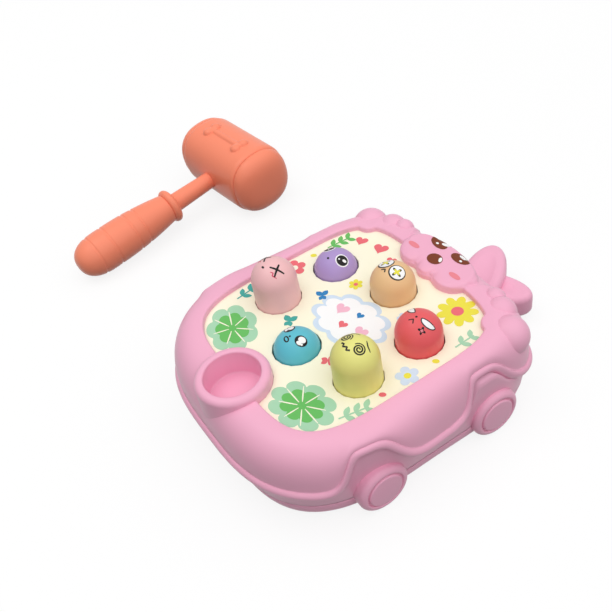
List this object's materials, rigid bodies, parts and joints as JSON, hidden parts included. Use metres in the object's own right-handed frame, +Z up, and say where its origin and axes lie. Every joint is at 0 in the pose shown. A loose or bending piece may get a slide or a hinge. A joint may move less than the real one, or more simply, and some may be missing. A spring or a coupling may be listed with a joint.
{
  "type": "mole pounding game",
  "caption": "Toy pounding game: wheeled case with a rabbit-head front, domed moles that seesaw in pairs through a printed board, a cup for the hammer, and a soft-edged hammer.",
  "frame": {"origin": "centre of the flat underside of the case, midway between the wheels' sides; the wheels reach 3.9 mm below it", "axes": "+Z up, +Y towards the rabbit's ears, +X to the right when looking towards the ears; the case is symmetric about X = 0, apart from its two ears, which lie at different angles and heights"},
  "size_m": [0.4037, 0.2565, 0.0965],
  "materials": {
    "case_plastic": "satin moulded plastic",
    "board_plastic": "satin moulded plastic",
    "printed_sheet": "printed film, satin",
    "inner_plastic": "plain moulded plastic",
    "steel": "zinc-plated",
    "mole_pink_plastic": "satin moulded plastic with a printed face",
    "mole_purple_plastic": "satin moulded plastic with a printed face",
    "mole_tan_plastic": "satin moulded plastic with a printed face",
    "mole_teal_plastic": "satin moulded plastic with a printed face",
    "mole_yellow_plastic": "satin moulded plastic with a printed face",
    "mole_red_plastic": "satin moulded plastic with a printed face",
    "hammer_plastic": "satin moulded plastic",
    "spot_plastic": "satin moulded plastic"
  },
  "bodies": {
    "case": {"upper_case": "case_plastic", "lower_case": "case_plastic", "play_board": "board_plastic", "board_sheet": "printed_sheet", "guide_plate": "inner_plastic", "pin_left": "steel", "pin_front": "steel", "pin_rear": "steel", "case_screw_1": "steel", "case_screw_2": "steel", "case_screw_3": "steel", "case_screw_4": "steel", "case_screw_5": "steel", "case_screw_6": "steel", "board_screw_1": "steel", "board_screw_2": "steel", "board_screw_3": "steel", "board_screw_4": "steel", "guide_screw_1": "steel", "guide_screw_2": "steel", "guide_screw_3": "steel", "guide_screw_4": "steel"},
    "pink_mole": {"mole_pink": "mole_pink_plastic", "stem_pink": "inner_plastic"},
    "purple_mole": {"mole_purple": "mole_purple_plastic", "stem_purple": "inner_plastic"},
    "tan_mole": {"mole_tan": "mole_tan_plastic", "stem_tan": "inner_plastic"},
    "red_mole": {"mole_red": "mole_red_plastic", "stem_red": "inner_plastic"},
    "yellow_mole": {"mole_yellow": "mole_yellow_plastic", "stem_yellow": "inner_plastic"},
    "teal_mole": {"mole_teal": "mole_teal_plastic", "stem_teal": "inner_plastic"},
    "left_rocker": {"rocker_left": "inner_plastic"},
    "front_rocker": {"rocker_front": "inner_plastic"},
    "rear_rocker": {"rocker_rear": "inner_plastic"},
    "hammer": {"hammer_head": "hammer_plastic", "hammer_end_left": "hammer_plastic", "hammer_end_right": "hammer_plastic", "hammer_spot_left": "spot_plastic", "hammer_spot_right": "spot_plastic", "hammer_shaft": "hammer_plastic", "hammer_grip": "hammer_plastic"}
  },
  "joints": [
    {"name": "left_rocker_turn", "type": "hinge", "parent": "case", "child": "left_rocker", "pos_m": [-0.0461, 0, 0.01715], "axis": [1, 0, 0], "range_deg": [0, 49.7]},
    {"name": "front_rocker_turn", "type": "hinge", "parent": "case", "child": "front_rocker", "pos_m": [0.02305, 0.0306, 0.01715], "axis": [0.3057, 0.9521, 0], "range_deg": [-23.75, 23.75]},
    {"name": "rear_rocker_turn", "type": "hinge", "parent": "case", "child": "rear_rocker", "pos_m": [0.02305, -0.0306, 0.01715], "axis": [-0.3057, 0.9521, 0], "range_deg": [0, 47.5]},
    {"name": "pink_slide", "type": "slide", "parent": "case", "child": "pink_mole", "axis": [0, 0, 1], "range_m": [-0.0195, 0]},
    {"name": "purple_slide", "type": "slide", "parent": "case", "child": "purple_mole", "axis": [0, 0, 1], "range_m": [0, 0.0195]},
    {"name": "tan_slide", "type": "slide", "parent": "case", "child": "tan_mole", "axis": [0, 0, 1], "range_m": [-0.00975, 0.00975]},
    {"name": "red_slide", "type": "slide", "parent": "case", "child": "red_mole", "axis": [0, 0, 1], "range_m": [-0.00975, 0.00975]},
    {"name": "yellow_slide", "type": "slide", "parent": "case", "child": "yellow_mole", "axis": [0, 0, 1], "range_m": [-0.0195, 0]},
    {"name": "teal_slide", "type": "slide", "parent": "case", "child": "teal_mole", "axis": [0, 0, 1], "range_m": [0, 0.0195]},
    {"name": "hammer_lift", "type": "slide", "parent": "case", "child": "hammer", "axis": [0, 0, 1], "range_m": [0, 0.12]}
  ],
  "couplings": [
    {"joint": "purple_slide", "follows": "pink_slide", "ratio": -1},
    {"joint": "left_rocker_turn", "follows": "pink_slide", "rad_per_m": -44.485},
    {"joint": "tan_slide", "follows": "red_slide", "ratio": -1},
    {"joint": "front_rocker_turn", "follows": "red_slide", "rad_per_m": -42.514},
    {"joint": "teal_slide", "follows": "yellow_slide", "ratio": -1},
    {"joint": "rear_rocker_turn", "follows": "yellow_slide", "rad_per_m": -42.514}
  ]
}
